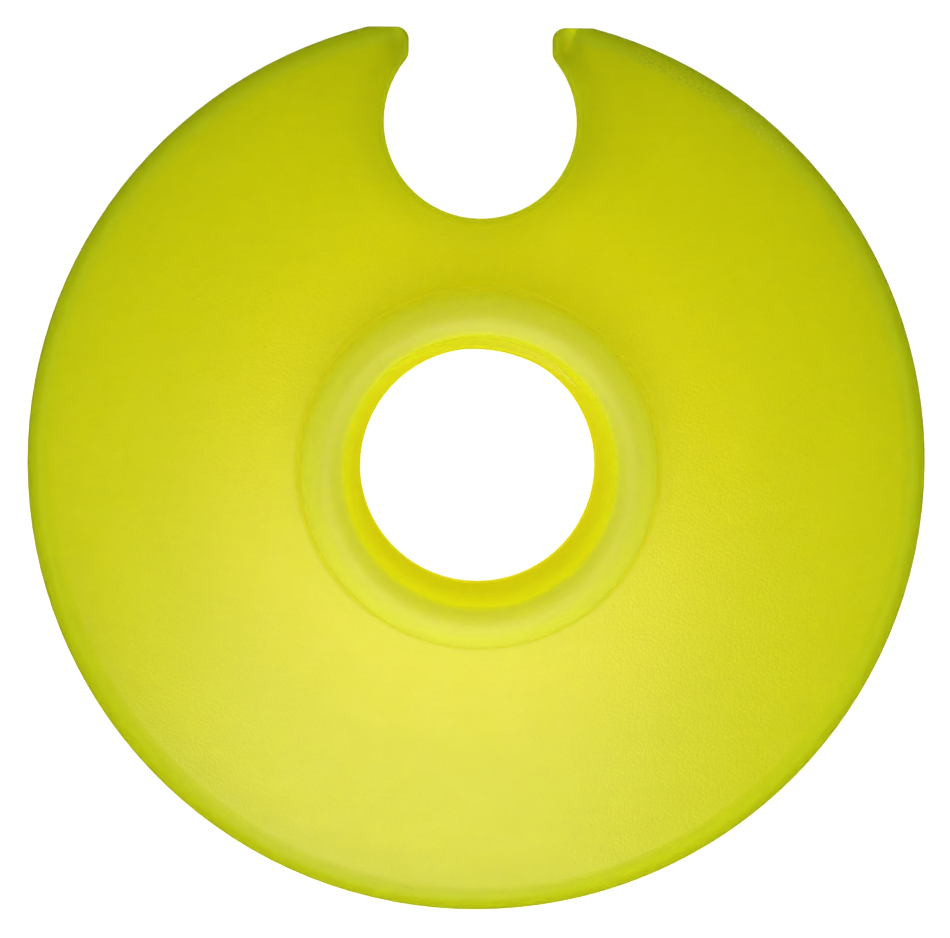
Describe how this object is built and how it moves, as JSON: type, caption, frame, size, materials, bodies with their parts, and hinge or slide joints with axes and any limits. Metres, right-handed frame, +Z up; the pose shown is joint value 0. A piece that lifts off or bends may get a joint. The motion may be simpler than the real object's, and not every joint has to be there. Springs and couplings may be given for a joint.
{
  "type": "trekking pole basket",
  "caption": "Domed disc basket for a trekking pole, with a raised collar round a tapered bore and a snap notch in the rim.",
  "frame": {"origin": "on the pole bore's axis, in the plane that the rim's flat underside rests on", "axes": "+Z up the pole, out of the collar; +Y from the bore axis through the middle of the snap notch; +X to the right seen from above with the notch at the top"},
  "size_m": [0.05, 0.0492, 0.01],
  "materials": {
    "lime_plastic": "satin, translucent lime yellow, fine moulded grain"
  },
  "bodies": {
    "root": {"basket": "lime_plastic"}
  },
  "joints": []
}
